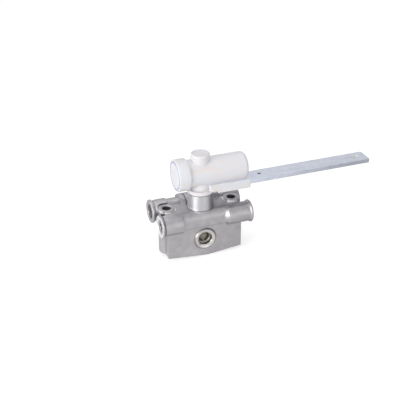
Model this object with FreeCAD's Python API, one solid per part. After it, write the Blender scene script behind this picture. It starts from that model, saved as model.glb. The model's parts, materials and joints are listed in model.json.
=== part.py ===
import FreeCAD, Part
from FreeCAD import Vector
import math
import os

# Air suspension levelling valve, in millimetres.
# The origin is midway between the two mounting holes, in the plane of their pads.
# +Z runs along the shaft towards the lever, +X along the lever at rest, and the
# exhaust port faces -Y. The pieces are modelled about the shaft's axis, and moved
# to that origin as they are written.

# Clearances
sliding_gap = 0.05
running_gap = 0.04
face_gap = 0.25
through = 1.0

# Mounting pads and the columns under them
pad_pitch = 70.0
pad_y = 3.5
column_radius = 8.8
column_bottom = -49.5
column_edge = 1.6
mount_hole_radius = 4.5
mount_hole_chamfer = 0.5
pad_height = 1.8

# Casting, main block
block_half_width = 39.5
block_front = -13.8
block_back = 16.0
block_corner_z = -50.0
keel_x = 3.0
keel_drop = 3.5
parting_z = -18.1
shoulder_front = -16.3
shoulder_radius = 9.0
block_edge = 1.0

# Front bar, which carries the two consumer ports on one axis
front_bar_y = -10.0
front_bar_z = -12.6
front_boss_radius = 10.4
front_boss_left_end = -24.2
front_boss_right_start = 20.0
front_boss_taper = 4.5
front_boss_taper_rise = 4.1
left_face_x = -46.8
left_flange_radius = 12.0
left_flange_thickness = 2.2
flange_edge = 0.6
flange_groove_width = 1.2
flange_groove_depth = 0.9
right_face_x = 50.2
right_bead_radius = 11.6
right_bead_thickness = 3.0
right_bead_slope = 1.3
front_passage_radius = 3.0

# Rear bar, which carries the supply port and the non-return valve
rear_bar_y = 17.5
rear_bar_z = -8.7
rear_face_x = -48.5
rear_flange_radius = 12.1
rear_flange_thickness = 3.0
rear_neck_radius = 10.3
rear_neck_length = 1.4
rear_boss_radius = 11.2
rear_boss_taper = 1.3
rear_boss_end = -31.0
rear_tube_radius = 10.0
rear_drum_radius = 13.0
rear_drum_start = -17.4
rear_drum_end = 24.0
rear_drum_groove_x = -12.6
rear_drum_groove_width = 1.0
rear_drum_groove_depth = 1.0
rear_end_x = 47.2
rear_passage_radius = 3.0
rear_web_thickness = 7.0

# Port threads, cut at their core size
port_core_radius = 7.2
port_thread_depth = 12.5
port_chamfer = 0.9

# Exhaust port in the front face
exhaust_z = -33.3
exhaust_rim_radius = 11.9
exhaust_rim_face_radius = 10.6
exhaust_rim_height = 1.5
exhaust_lead_radius = 9.2
exhaust_lead_depth = 1.0
exhaust_depth = 6.6
filter_seat_radius = 6.2
filter_seat_depth = 2.4

# Control spool and its bore, along Y under the shaft
spool_radius = 5.0
spool_front = -4.9
spool_length = 16.5
spool_waist_radius = 3.4
spool_waist_start = 5.2
spool_waist_length = 2.6
spool_ring_section = 0.8
spool_ring_depth = 1.1
spool_ring_places = (-3.3, 3.7, 9.6)
slot_gap = 0.12
slot_floor = -36.0
plug_length = 4.6
plug_boss_radius = 11.0
plug_boss_height = 4.4
plug_radius = 7.2
plug_recess = 0.6
plug_hex_size = 6.0
plug_hex_depth = 2.6
plug_groove_depth = 1.1
plug_groove_width = 1.9
supply_drill_radius = 2.0
supply_drill_y = 13.6
consumer_drill_radius = 1.6
consumer_drill_x = 11.0
ball_radius = 2.15

# Non-return valve in the rear bar
check_bore_radius = 6.3
check_bore_end = -14.0
check_seat_length = 2.8
check_seat_radius = 3.2
check_disc_radius = 5.2
check_disc_thickness = 1.8
check_nose_length = 1.5
check_stem_radius = 2.1
check_stem_length = 4.0
check_spring_radius = 3.3
check_spring_wire = 0.45
check_spring_turns = 6

# Throttle between the two consumer ports
throttle_start = 14.0
throttle_length = 9.0
throttle_bore_radius = 0.8

# Collar, bush and seal round the shaft
collar_radius = 13.6
collar_top = 14.1
collar_edge = 0.6
collar_spigot_radius = 9.5
collar_spigot_length = 5.0
collar_seat_radius = 14.5
collar_recess_gap = 0.3
bush_wall = 2.0
seal_height = 3.2
seal_radius = 9.4
seal_top_step = 0.6

# Shaft and its eccentric pin
shaft_radius = 6.0
shaft_bottom = -27.6
shaft_above_bore = 6.7
shaft_edge = 0.6
thrust_flange_radius = 8.4
thrust_flange_height = 1.6
shaft_flat_offset = 4.6
shaft_ring_z = -17.0
shaft_ring_section = 0.8
shaft_ring_depth = 1.1
ring_crown_share = 0.4
eccentric_offset = 2.0
eccentric_radius = 1.5
eccentric_end = -35.2
eccentric_grip = 5.0

# Head moulding
flange_bottom = 14.6
flange_height = 3.9
flange_radius = 13.2
neck_radius = 9.2
barrel_z = 36.0
barrel_radius = 14.0
barrel_end = 47.9
barrel_rounding = 4.0
barrel_start = -22.4
boss_radius = 9.6
shaft_top_gap = 2.0
boss_edge = 0.8
bore_radius = 9.6
bore_end = 43.6
rail_start = 6.5
rail_end = 50.3
rail_half_width = 11.6
rail_top = 24.2
rail_edge = 0.8
rail_notch_end = 14.9
rail_notch_height = 2.0
washer_thickness = 1.3
washer_radius = 9.0
retainer_thickness = 1.0
retainer_radius = 7.6
retainer_groove_depth = 0.8
retainer_mouth = 3.6
head_top_wall = 2.2
plug_cap_radius = 7.4

# End cap of the barrel
cap_radius = 16.4
cap_face_x = -27.1
cap_rear_x = -14.9
cap_groove_radius = 13.6
cap_groove_width = 1.0
cap_groove_depth = 1.2
cap_disc_drop = 0.3
cap_edge = 1.0
cap_wall = 2.6
cap_spigot_length = 4.0

# Overload plunger and spring in the barrel
plunger_length = 13.0
plunger_cup_radius = 6.6
plunger_cup_depth = 8.5
overload_spring_radius = 5.2
overload_spring_wire = 0.8
overload_spring_turns = 8

# Lever and its screws
lever_start = 17.0
lever_end_margin = 12.2
lever_width = 18.5
lever_thickness = 5.0
lever_top = 22.3
lever_hole_x = 175.5
lever_hole_radius = 4.0
lever_small_hole_x = 64.3
lever_small_hole_radius = 1.8
lever_edge = 0.4
lever_screw_places = (26.0, 42.0)
lever_screw_radius = 2.5
lever_screw_head_radius = 4.2
lever_screw_head_height = 2.4
lever_screw_hex = 3.0

# Exhaust filter and its ring
filter_thickness = 1.4
filter_hub_radius = 2.2
filter_hub_height = 0.8
filter_ring_wire = 0.9
filter_ring_mouth = 3.0

UP = Vector(0, 0, 1)
ALONG = Vector(1, 0, 0)
BACK = Vector(0, 1, 0)


def rod(radius, start, end):
    """Cylinder from one point to another."""
    run = end - start
    return Part.makeCylinder(radius, run.Length, start, run)


def taper(radius_start, radius_end, start, end):
    """Cone from one point to another."""
    run = end - start
    return Part.makeCone(radius_start, radius_end, run.Length, start, run)


def block(low, high):
    """Box between two corners."""
    size = high - low
    return Part.makeBox(size.x, size.y, size.z, low)


def turned(profile, origin, axis):
    """Solid of revolution from points of (radius, distance along the axis)."""
    points = [Vector(radius, 0, along) for radius, along in profile]
    face = Part.Face(Part.makePolygon(points + [points[0]]))
    solid = face.revolve(Vector(0, 0, 0), UP, 360)
    solid.Placement = FreeCAD.Placement(origin, FreeCAD.Rotation(UP, axis))
    return solid


def rounded_rod(radius, start, end, edge):
    """Cylinder with its far end rounded."""
    run = end - start
    length = run.Length
    middle = edge * (1 - math.sqrt(0.5))
    rim = Part.Arc(Vector(radius, 0, length - edge),
                   Vector(radius - middle, 0, length - middle),
                   Vector(radius - edge, 0, length)).toShape()
    sides = Part.makePolygon([Vector(radius - edge, 0, length), Vector(0, 0, length),
                              Vector(0, 0, 0), Vector(radius, 0, 0),
                              Vector(radius, 0, length - edge)])
    face = Part.Face(Part.Wire([rim] + sides.Edges))
    solid = face.revolve(Vector(0, 0, 0), UP, 360)
    solid.Placement = FreeCAD.Placement(start, FreeCAD.Rotation(UP, run))
    return solid


def hexagon_prism(size, start, end):
    """Hexagonal prism, with its size across the flats."""
    run = end - start
    corner = size / math.sqrt(3)
    points = [Vector(corner * math.cos(math.radians(60 * turn)),
                     corner * math.sin(math.radians(60 * turn)), 0) for turn in range(7)]
    prism = Part.Face(Part.makePolygon(points)).extrude(UP * run.Length)
    prism.Placement = FreeCAD.Placement(start, FreeCAD.Rotation(UP, run))
    return prism


def coil(mean_radius, wire_radius, start, end, turns):
    """Compression spring whose wire lies between two end planes."""
    run = end - start
    height = run.Length - 2 * wire_radius
    helix = Part.makeHelix(height / turns, height, mean_radius)
    section = Part.Wire(Part.makeCircle(wire_radius, Vector(mean_radius, 0, 0), BACK))
    spring = Part.Wire(helix.Edges).makePipeShell([section], True, True)
    spring.translate(UP * wire_radius)
    turn = FreeCAD.Placement(start, FreeCAD.Rotation(UP, run))
    spring.Placement = turn.multiply(spring.Placement)
    return spring


def flange(radius, thickness, centre):
    """Port flange with both rims broken."""
    edge = flange_edge
    return turned([(0, 0), (radius - edge, 0), (radius, edge), (radius, thickness - edge),
                   (radius - edge, thickness), (0, thickness)], centre, ALONG)


def sleeve(inner, outer, start, end):
    """Tube between two radii."""
    return rod(outer, start, end).cut(rod(inner, start, end))


def write(name, shape):
    """Moves one sub-part to the origin between the mounting holes and writes it."""
    shape.translate(BACK * -pad_y)
    shape.exportStep("parts/" + name + ".step")


def mount_points():
    """Axes of the two mounting columns, in the pads' plane."""
    return [Vector(side * pad_pitch / 2, pad_y, 0) for side in (-1, 1)]


def deck_z():
    """Height of the casting's top face, which carries the collar."""
    return -pad_height


def front_axis(x):
    """Point on the front bar's axis."""
    return Vector(x, front_bar_y, front_bar_z)


def rear_axis(x):
    """Point on the rear bar's axis."""
    return Vector(x, rear_bar_y, rear_bar_z)


def valve_axis(y):
    """Point on the axis of the exhaust port and the spool."""
    return Vector(0, y, exhaust_z)


def exhaust_floor():
    """Y of the floor under the filter in the exhaust port."""
    return block_front - exhaust_rim_height + exhaust_depth + filter_seat_depth


def plug_outer_face():
    """Y of the boss that holds the rear plug."""
    return block_back + plug_boss_height


def plug_inner_face():
    """Y of the rear plug's inner face."""
    return plug_outer_face() - plug_recess - plug_length


def lower_block():
    """Keel-shaped block under the parting line."""
    corners = [(-block_half_width, parting_z), (-block_half_width, block_corner_z),
               (keel_x, block_corner_z - keel_drop), (block_half_width, block_corner_z),
               (block_half_width, parting_z)]
    points = [Vector(x, block_front, z) for x, z in corners]
    face = Part.Face(Part.makePolygon(points + [points[0]]))
    prism = face.extrude(BACK * (block_back - block_front))
    return prism.makeFillet(block_edge, [edge for edge in prism.Edges if is_low_edge(edge)])


def is_low_edge(edge):
    """True for the block's edges that lie wholly under the parting line."""
    return max(vertex.Z for vertex in edge.Vertexes) < parting_z - through


def upper_block():
    """Deck with a rounded shoulder at its front."""
    deck = deck_z()
    arc_y = shoulder_front + shoulder_radius
    arc_z = deck - shoulder_radius
    reach = shoulder_radius * math.sqrt(0.5)
    shoulder = Part.Arc(Vector(0, arc_y, deck), Vector(0, arc_y - reach, arc_z + reach),
                        Vector(0, shoulder_front, arc_z)).toShape()
    sides = Part.makePolygon([Vector(0, shoulder_front, arc_z), Vector(0, shoulder_front, parting_z),
                              Vector(0, rear_bar_y, parting_z), Vector(0, rear_bar_y, deck),
                              Vector(0, arc_y, deck)])
    face = Part.Face(Part.Wire([shoulder] + sides.Edges))
    prism = face.extrude(ALONG * (2 * block_half_width))
    prism.translate(ALONG * -block_half_width)
    return prism


def columns():
    """Columns round the mounting holes, with the pads on top."""
    solids = []
    for point in mount_points():
        foot = Vector(point.x, point.y, column_bottom)
        solids.append(rounded_rod(column_radius, point, foot, column_edge))
    return solids


def front_bar():
    """Bosses of the two consumer ports."""
    flange_end = left_face_x + left_flange_thickness
    boss_start = flange_end + flange_groove_width
    bead_start = right_face_x - right_bead_thickness
    taper_end = front_boss_right_start + front_boss_taper
    small = front_boss_radius - front_boss_taper_rise
    bead = turned([(0, 0), (front_boss_radius, 0), (right_bead_radius, right_bead_slope),
                   (right_bead_radius, right_bead_thickness - flange_edge),
                   (right_bead_radius - flange_edge, right_bead_thickness), (0, right_bead_thickness)],
                  front_axis(bead_start), ALONG)
    return [flange(left_flange_radius, left_flange_thickness, front_axis(left_face_x)), bead,
            rod(front_boss_radius - flange_groove_depth, front_axis(flange_end), front_axis(boss_start)),
            rod(front_boss_radius, front_axis(boss_start), front_axis(front_boss_left_end)),
            taper(small, front_boss_radius, front_axis(front_boss_right_start), front_axis(taper_end)),
            rod(front_boss_radius, front_axis(taper_end), front_axis(bead_start))]


def rear_bar():
    """Supply port's flange, neck and boss, the drum behind the shaft and the blind right end."""
    flange_end = rear_face_x + rear_flange_thickness
    neck_end = flange_end + rear_neck_length
    taper_end = neck_end + rear_boss_taper
    web = block(Vector(-block_half_width, block_back - rear_web_thickness, rear_bar_z - rear_tube_radius),
                Vector(block_half_width, rear_bar_y, rear_bar_z))
    return [flange(rear_flange_radius, rear_flange_thickness, rear_axis(rear_face_x)), web,
            rod(rear_neck_radius, rear_axis(flange_end), rear_axis(neck_end)),
            taper(rear_neck_radius, rear_boss_radius, rear_axis(neck_end), rear_axis(taper_end)),
            rod(rear_boss_radius, rear_axis(taper_end), rear_axis(rear_boss_end)),
            rod(rear_tube_radius, rear_axis(rear_boss_end), rear_axis(rear_drum_start)),
            rounded_rod(rear_drum_radius, rear_axis(rear_drum_start), rear_axis(rear_drum_end), column_edge),
            rounded_rod(rear_tube_radius, rear_axis(rear_drum_start), rear_axis(rear_end_x), flange_edge)]


def exhaust_rim():
    """Raised rim of the exhaust port, with a sloping side."""
    face = block_front - exhaust_rim_height
    return turned([(0, 0), (exhaust_rim_radius, 0), (exhaust_rim_radius, exhaust_rim_height),
                   (exhaust_rim_face_radius, 2 * exhaust_rim_height), (0, 2 * exhaust_rim_height)],
                  valve_axis(face + 2 * exhaust_rim_height), BACK * -1)


def port_cut(mouth, inward):
    """Threaded port with a chamfered mouth."""
    lead = port_core_radius + port_chamfer
    cone = taper(lead, port_core_radius, mouth, mouth + inward * port_chamfer)
    clear = rod(lead, mouth - inward * through, mouth)
    return [rod(port_core_radius, mouth, mouth + inward * port_thread_depth), cone, clear]


def casting_cuts():
    """Everything that is drilled or bored in the casting."""
    cuts = []
    for point in mount_points():
        low = Vector(point.x, point.y, block_corner_z - keel_drop)
        cuts.append(rod(mount_hole_radius, low, point + UP * through))
        rim = mount_hole_radius + mount_hole_chamfer
        cuts.append(taper(mount_hole_radius, rim, point - UP * mount_hole_chamfer, point))
    cuts += port_cut(front_axis(left_face_x), ALONG)
    cuts += port_cut(front_axis(right_face_x), ALONG * -1)
    cuts.append(rod(front_passage_radius, front_axis(left_face_x), front_axis(right_face_x)))
    cuts += port_cut(rear_axis(rear_face_x), ALONG)
    cuts.append(rod(check_bore_radius, rear_axis(rear_face_x), rear_axis(check_bore_end)))
    cuts.append(rod(rear_passage_radius, rear_axis(check_bore_end), rear_axis(supply_drill_radius)))
    cuts.append(sleeve(rear_drum_radius - rear_drum_groove_depth, rear_drum_radius + through,
                       rear_axis(rear_drum_groove_x), rear_axis(rear_drum_groove_x + rear_drum_groove_width)))
    cuts += exhaust_cuts()
    cuts.append(rod(filter_seat_radius, valve_axis(block_front), valve_axis(exhaust_floor())))
    cuts.append(rod(spool_radius + sliding_gap, valve_axis(exhaust_floor()), valve_axis(plug_inner_face())))
    cuts.append(rod(plug_radius, valve_axis(plug_inner_face()), valve_axis(plug_outer_face() + through)))
    cuts.append(rod(supply_drill_radius, Vector(0, supply_drill_y, block_corner_z - 2 * keel_drop),
                    Vector(0, supply_drill_y, rear_bar_z)))
    cuts.append(rod(consumer_drill_radius, Vector(consumer_drill_x, front_bar_y, front_bar_z),
                    Vector(0, spool_radius, exhaust_z + spool_radius / 2)))
    cuts += shaft_cuts()
    return cuts


def exhaust_cuts():
    """Lead cone and thread core of the exhaust port."""
    face = block_front - exhaust_rim_height
    return [taper(exhaust_lead_radius, port_core_radius, valve_axis(face),
                  valve_axis(face + exhaust_lead_depth)),
            rod(port_core_radius, valve_axis(face), valve_axis(face + exhaust_depth))]


def shaft_cuts():
    """Bores for the collar's spigot, the thrust flange and the shaft."""
    deck = deck_z()
    recess = rod(collar_radius + collar_recess_gap, Vector(0, 0, deck), Vector(0, 0, collar_top))
    spigot = rod(collar_spigot_radius, Vector(0, 0, flange_floor()), Vector(0, 0, deck + through))
    bore = rod(shaft_radius + sliding_gap, Vector(0, 0, exhaust_z), Vector(0, 0, deck))
    return [recess, spigot, bore]


def spigot_bottom():
    """Height of the collar spigot's lower end."""
    return deck_z() - collar_spigot_length


def flange_floor():
    """Height of the step under the shaft's thrust flange."""
    return spigot_bottom() - 2 * sliding_gap - thrust_flange_height


def valve_body():
    """Die-cast body with its ports, columns and bores."""
    solid = upper_block().fuse([lower_block(), exhaust_rim()] + columns() + front_bar() + rear_bar()
                               + [collar_seat(), plug_boss()])
    return solid.removeSplitter().cut(casting_cuts())


def collar_seat():
    """Round seat under the collar, part of the casting."""
    deck = deck_z()
    return rod(collar_seat_radius, Vector(0, 0, deck - shoulder_radius), Vector(0, 0, deck))


def plug_boss():
    """Boss round the rear plug, part of the casting."""
    return rod(plug_boss_radius, valve_axis(block_back - plug_boss_height), valve_axis(plug_outer_face()))


def neck_collar():
    """Machined collar pressed into the casting, which holds the bush and the seal."""
    deck = deck_z()
    bush_radius = shaft_radius + running_gap + bush_wall
    seal_floor = collar_top - seal_height - seal_top_step
    profile = [(bush_radius, spigot_bottom()), (collar_spigot_radius, spigot_bottom()),
               (collar_spigot_radius, deck), (collar_radius, deck),
               (collar_radius, collar_top - collar_edge), (collar_radius - collar_edge, collar_top),
               (seal_radius, collar_top), (seal_radius, seal_floor), (bush_radius, seal_floor)]
    return turned(profile, Vector(0, 0, 0), UP)


def shaft_bush():
    """Plain bearing bush in the collar."""
    inner = shaft_radius + running_gap
    outer = inner + bush_wall
    seal_floor = collar_top - seal_height - seal_top_step
    return turned([(inner, spigot_bottom()), (outer, spigot_bottom()), (outer, seal_floor),
                   (inner, seal_floor)], Vector(0, 0, 0), UP)


def shaft_seal():
    """Lip seal that keeps dirt off the bush."""
    floor = collar_top - seal_height - seal_top_step
    lip = shaft_radius + running_gap
    top = floor + seal_height
    waist = (lip + seal_radius) / 2
    return turned([(lip, floor), (seal_radius, floor), (seal_radius, top - seal_top_step),
                   (waist, top - seal_top_step), (lip + seal_top_step, top), (lip, top)],
                  Vector(0, 0, 0), UP)


def shaft():
    """Steel shaft with a thrust flange, a flat for the plunger and a retainer groove."""
    solid = rounded_rod(shaft_radius, Vector(0, 0, shaft_bottom), Vector(0, 0, shaft_top()), shaft_edge)
    flange_top = spigot_bottom() - sliding_gap
    flange = rod(thrust_flange_radius, Vector(0, 0, flange_top - thrust_flange_height),
                 Vector(0, 0, flange_top))
    flat_half = bore_radius + sliding_gap
    flat = block(Vector(shaft_flat_offset, -shaft_radius - through, barrel_z - flat_half),
                 Vector(shaft_radius + through, shaft_radius + through, barrel_z + flat_half))
    ring_groove = groove(shaft_radius, shaft_ring_depth, shaft_ring_section, Vector(0, 0, shaft_ring_z), UP)
    clip_low = Vector(0, 0, retainer_floor())
    clip_groove = sleeve(shaft_radius - retainer_groove_depth, shaft_radius + through,
                         clip_low, clip_low + UP * retainer_thickness)
    pin_hole = rod(eccentric_radius, eccentric_point(shaft_bottom),
                   eccentric_point(shaft_bottom + eccentric_grip))
    return solid.fuse(flange).cut([flat, ring_groove, clip_groove, pin_hole])


def shaft_top():
    """Height of the shaft's upper end, over the plunger's bore."""
    return barrel_z + bore_radius + shaft_above_bore


def boss_top():
    """Height of the head's boss, which closes over the shaft."""
    return shaft_top() + shaft_top_gap + head_top_wall


def eccentric_point(z):
    """Point on the eccentric pin's axis."""
    return Vector(eccentric_offset, 0, z)


def groove(outer_radius, depth, section_radius, centre, axis):
    """Ring cut for an o-ring on a round part."""
    half = section_radius + running_gap
    start = centre - axis * half
    end = centre + axis * half
    return sleeve(outer_radius - depth, outer_radius + through, start, end)


def eccentric_pin():
    """Pin pressed into the shaft, which moves the spool."""
    return rounded_rod(eccentric_radius, eccentric_point(shaft_bottom + eccentric_grip),
                       eccentric_point(eccentric_end), eccentric_radius / 4)


def shaft_o_ring():
    """Ring that seals the shaft in the casting."""
    return ring_in_groove(shaft_radius, shaft_ring_depth, shaft_ring_section,
                          Vector(0, 0, shaft_ring_z), UP)


def ring_in_groove(outer_radius, depth, section_radius, centre, axis):
    """O-ring that stands a little proud of the part that carries it."""
    seat = outer_radius - depth
    crown = outer_radius + sliding_gap / 2
    return turned_ring(seat, crown, section_radius, centre, axis)


def turned_ring(seat, crown, half_width, centre, axis):
    """Ring of a flattened round section between two radii."""
    middle = (crown + seat) / 2
    flat = half_width * ring_crown_share
    profile = [(seat, -flat), (middle, -half_width), (crown, -flat),
               (crown, flat), (middle, half_width), (seat, flat)]
    return turned(profile, centre, axis)


def control_spool():
    """Spool with a cross slot for the eccentric pin."""
    front = spool_front
    end = spool_front + spool_length
    solid = rod(spool_radius, valve_axis(front), valve_axis(end))
    waist_end = spool_waist_start + spool_waist_length
    waist = sleeve(spool_waist_radius, spool_radius + through,
                   valve_axis(spool_waist_start), valve_axis(waist_end))
    half_slot = eccentric_radius + slot_gap
    slot = block(Vector(-spool_radius - through, -half_slot, slot_floor),
                 Vector(spool_radius + through, half_slot, exhaust_z + spool_radius + through))
    grooves = [groove(spool_radius, spool_ring_depth, spool_ring_section, valve_axis(y), BACK)
               for y in spool_ring_places]
    return solid.cut([waist, slot] + grooves)


def spool_o_rings():
    """Rings on the spool."""
    return Part.makeCompound([ring_in_groove(spool_radius, spool_ring_depth, spool_ring_section,
                                             valve_axis(y), BACK) for y in spool_ring_places])


def rear_plug():
    """Screwed plug that closes the spool's bore."""
    start = plug_inner_face()
    end = start + plug_length
    middle = (start + end) / 2 - plug_hex_depth / 2
    solid = rod(plug_radius, valve_axis(start), valve_axis(end))
    socket = hexagon_prism(plug_hex_size, valve_axis(end - plug_hex_depth), valve_axis(end + through))
    half = plug_groove_width / 2
    ring_cut = sleeve(plug_radius - plug_groove_depth, plug_radius + through,
                      valve_axis(middle - half), valve_axis(middle + half))
    return solid.cut([socket, ring_cut])


def plug_o_ring():
    """Ring that seals the rear plug."""
    middle = plug_inner_face() + plug_length / 2 - plug_hex_depth / 2
    return turned_ring(plug_radius - plug_groove_depth, plug_radius, plug_groove_width / 2,
                       valve_axis(middle), BACK)


def check_seat_start():
    """X where the non-return valve's seat begins."""
    return rear_face_x + port_thread_depth


def check_seat():
    """Seat ring of the non-return valve."""
    start = check_seat_start()
    profile = [(check_seat_radius, 0), (check_bore_radius, 0), (check_bore_radius, check_seat_length),
               (check_seat_radius + check_nose_length / 2, check_seat_length),
               (check_seat_radius, check_seat_length - check_nose_length / 2)]
    return turned(profile, rear_axis(start), ALONG)


def check_disc_start():
    """X of the non-return valve's sealing face."""
    return check_seat_start() + check_seat_length + sliding_gap


def check_poppet():
    """Non-return valve, a disc with a cone nose and a spring stem."""
    back = check_disc_thickness + check_stem_length
    nose = check_seat_radius - check_nose_length / 3
    profile = [(0, -check_nose_length), (nose - check_nose_length, -check_nose_length),
               (nose - running_gap, 0),
               (check_disc_radius, 0), (check_disc_radius, check_disc_thickness),
               (check_stem_radius, check_disc_thickness), (check_stem_radius, back), (0, back)]
    return turned(profile, rear_axis(check_disc_start()), ALONG)


def check_spring():
    """Spring behind the non-return valve."""
    start = check_disc_start() + check_disc_thickness + sliding_gap
    return coil(check_spring_radius, check_spring_wire, rear_axis(start),
                rear_axis(check_bore_end - sliding_gap), check_spring_turns)


def throttle_insert():
    """Restrictor between the two consumer ports."""
    end = throttle_start + throttle_length
    return sleeve(throttle_bore_radius, front_passage_radius, front_axis(throttle_start), front_axis(end))


def keel_z(x):
    """Height of the block's underside at a given X."""
    reach = block_half_width - keel_x if x > keel_x else block_half_width + keel_x
    return block_corner_z - keel_drop * (1 - abs(x - keel_x) / reach)


def passage_ball():
    """Ball pressed into the lower end of the supply drilling."""
    return Part.makeSphere(ball_radius, Vector(0, supply_drill_y, keel_z(0) + 2 * ball_radius))


def exhaust_filter():
    """Filter pad on the floor of the exhaust port."""
    floor = exhaust_floor()
    rim = filter_seat_radius - sliding_gap
    profile = [(0, 0), (rim, 0), (rim, filter_thickness),
               (filter_hub_radius + filter_hub_height, filter_thickness),
               (filter_hub_radius, filter_thickness + filter_hub_height),
               (0, filter_thickness + filter_hub_height)]
    return turned(profile, valve_axis(floor), BACK * -1)


def filter_ring():
    """Spring ring that holds the filter."""
    start = exhaust_floor() - filter_thickness
    end = start - filter_ring_wire
    inner = filter_hub_radius + 2 * filter_hub_height
    ring = sleeve(inner, filter_seat_radius, valve_axis(start), valve_axis(end))
    mouth = block(Vector(-filter_ring_mouth / 2, end - through, exhaust_z - filter_seat_radius),
                  Vector(filter_ring_mouth / 2, start + through, exhaust_z))
    return ring.cut(mouth)


def head_housing():
    """White moulding with the barrel, the boss, the flange and the lever's rail."""
    barrel = rounded_rod(barrel_radius, Vector(barrel_start, 0, barrel_z), Vector(barrel_end, 0, barrel_z),
                         barrel_rounding)
    boss = rounded_rod(boss_radius, Vector(0, 0, barrel_z), Vector(0, 0, boss_top()), boss_edge)
    flange_end = flange_bottom + flange_height
    foot = rod(flange_radius, Vector(0, 0, flange_bottom), Vector(0, 0, flange_end))
    neck = rod(neck_radius, Vector(0, 0, flange_bottom), Vector(0, 0, barrel_z))
    rail = block(Vector(rail_start, -rail_half_width, flange_bottom),
                 Vector(rail_end, rail_half_width, rail_top))
    rail = rail.makeFillet(rail_edge, [edge for edge in rail.Edges if is_upright(edge)])
    notch = block(Vector(rail_start - through, -rail_half_width - through, flange_bottom - through),
                  Vector(rail_notch_end, rail_half_width + through, flange_bottom + rail_notch_height))
    solid = barrel.fuse([boss, foot, neck, rail.cut(notch)])
    return solid.cut(head_cuts())


def is_upright(edge):
    """True for a straight edge parallel to Z."""
    first = edge.Vertexes[0].Point
    last = edge.Vertexes[-1].Point
    return abs(first.x - last.x) < 1e-6 and abs(first.y - last.y) < 1e-6


def head_cuts():
    """Bores and pockets of the head moulding."""
    bore = rod(bore_radius, Vector(barrel_start - through, 0, barrel_z), Vector(bore_end, 0, barrel_z))
    shaft_bore = rod(shaft_radius + sliding_gap, Vector(0, 0, flange_bottom - through),
                     Vector(0, 0, retainer_floor()))
    washer_pocket = rod(washer_radius + sliding_gap, Vector(0, 0, flange_bottom - through),
                        Vector(0, 0, washer_top()))
    top_pocket = rod(retainer_radius + sliding_gap, Vector(0, 0, retainer_floor()),
                     Vector(0, 0, boss_top() - head_top_wall))
    plug_seat = rod(plug_cap_radius, Vector(0, 0, boss_top() - head_top_wall - through),
                    Vector(0, 0, boss_top() + through))
    slot = block(Vector(lever_start - face_gap, -lever_width / 2 - sliding_gap, lever_bottom() - sliding_gap),
                 Vector(rail_end + through, lever_width / 2 + sliding_gap, lever_top + sliding_gap))
    screws = [rod(lever_screw_radius, Vector(x, 0, flange_bottom - through), Vector(x, 0, lever_bottom()))
              for x in lever_screw_places]
    return [bore, shaft_bore, washer_pocket, top_pocket, plug_seat, slot] + screws


def lever_bottom():
    """Height of the lever's underside."""
    return lever_top - lever_thickness


def washer_top():
    """Height of the floor of the washer's pocket in the head."""
    return flange_bottom + washer_thickness - (flange_bottom - collar_top) / 2


def thrust_washer():
    """Plain washer between the collar and the head."""
    low = washer_top() - washer_thickness
    return sleeve(shaft_radius + running_gap, washer_radius, Vector(0, 0, low), Vector(0, 0, washer_top()))


def retainer_floor():
    """Height of the shoulder that the shaft's retaining ring bears on."""
    return shaft_top() - 2 * retainer_thickness


def retaining_ring():
    """Open ring in the shaft's top groove."""
    low = Vector(0, 0, retainer_floor())
    high = low + UP * retainer_thickness
    ring = sleeve(shaft_radius - retainer_groove_depth, retainer_radius, low, high)
    mouth = block(Vector(-retainer_radius, -retainer_mouth / 2, low.z - through),
                  Vector(0, retainer_mouth / 2, high.z + through))
    return ring.cut(mouth)


def top_plug():
    """Disc that closes the boss over the shaft's end."""
    low = boss_top() - head_top_wall
    return rounded_rod(plug_cap_radius, Vector(0, 0, low), Vector(0, 0, boss_top()), boss_edge / 2)


def end_cap():
    """Cap pushed over the open end of the barrel."""
    inner = barrel_radius
    floor = barrel_start - face_gap
    spigot = bore_radius - sliding_gap
    disc = cap_face_x + cap_disc_drop
    disc_radius = cap_groove_radius - cap_groove_width
    groove_floor = cap_face_x + cap_groove_depth
    profile = [(0, disc), (disc_radius, disc), (disc_radius, groove_floor),
               (cap_groove_radius, groove_floor), (cap_groove_radius, cap_face_x),
               (cap_radius - cap_edge, cap_face_x),
               (cap_radius, cap_face_x + cap_edge), (cap_radius, cap_rear_x), (inner, cap_rear_x),
               (inner, floor), (spigot, floor), (spigot, floor + cap_spigot_length),
               (spigot - cap_wall, floor + cap_spigot_length), (spigot - cap_wall, floor), (0, floor)]
    return turned(profile, Vector(0, 0, barrel_z), ALONG)


def overload_plunger():
    """Cup that bears on the shaft's flat."""
    start = shaft_flat_offset + sliding_gap
    end = start + plunger_length
    radius = bore_radius - sliding_gap
    cup = end - plunger_cup_depth
    profile = [(0, start), (radius, start), (radius, end), (plunger_cup_radius, end),
               (plunger_cup_radius, cup), (0, cup)]
    return turned(profile, Vector(0, 0, barrel_z), ALONG)


def overload_spring():
    """Spring that holds the plunger on the flat."""
    start = shaft_flat_offset + sliding_gap + plunger_length - plunger_cup_depth + sliding_gap
    return coil(overload_spring_radius, overload_spring_wire, Vector(start, 0, barrel_z),
                Vector(bore_end - sliding_gap, 0, barrel_z), overload_spring_turns)


def lever():
    """Flat bar with the rod's hole at its far end."""
    half = lever_width / 2
    lever_end = lever_hole_x + lever_end_margin
    bar = block(Vector(lever_start, -half, lever_bottom()), Vector(lever_end, half, lever_top))
    bar = bar.makeChamfer(lever_edge, bar.Edges)
    holes = [drilled(lever_hole_x, lever_hole_radius), drilled(lever_small_hole_x, lever_small_hole_radius)]
    threads = [drilled(x, lever_screw_radius) for x in lever_screw_places]
    return bar.cut(holes + threads)


def drilled(x, radius):
    """Cut for a hole through the lever."""
    return rod(radius, Vector(x, 0, lever_bottom() - through), Vector(x, 0, lever_top + through))


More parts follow.
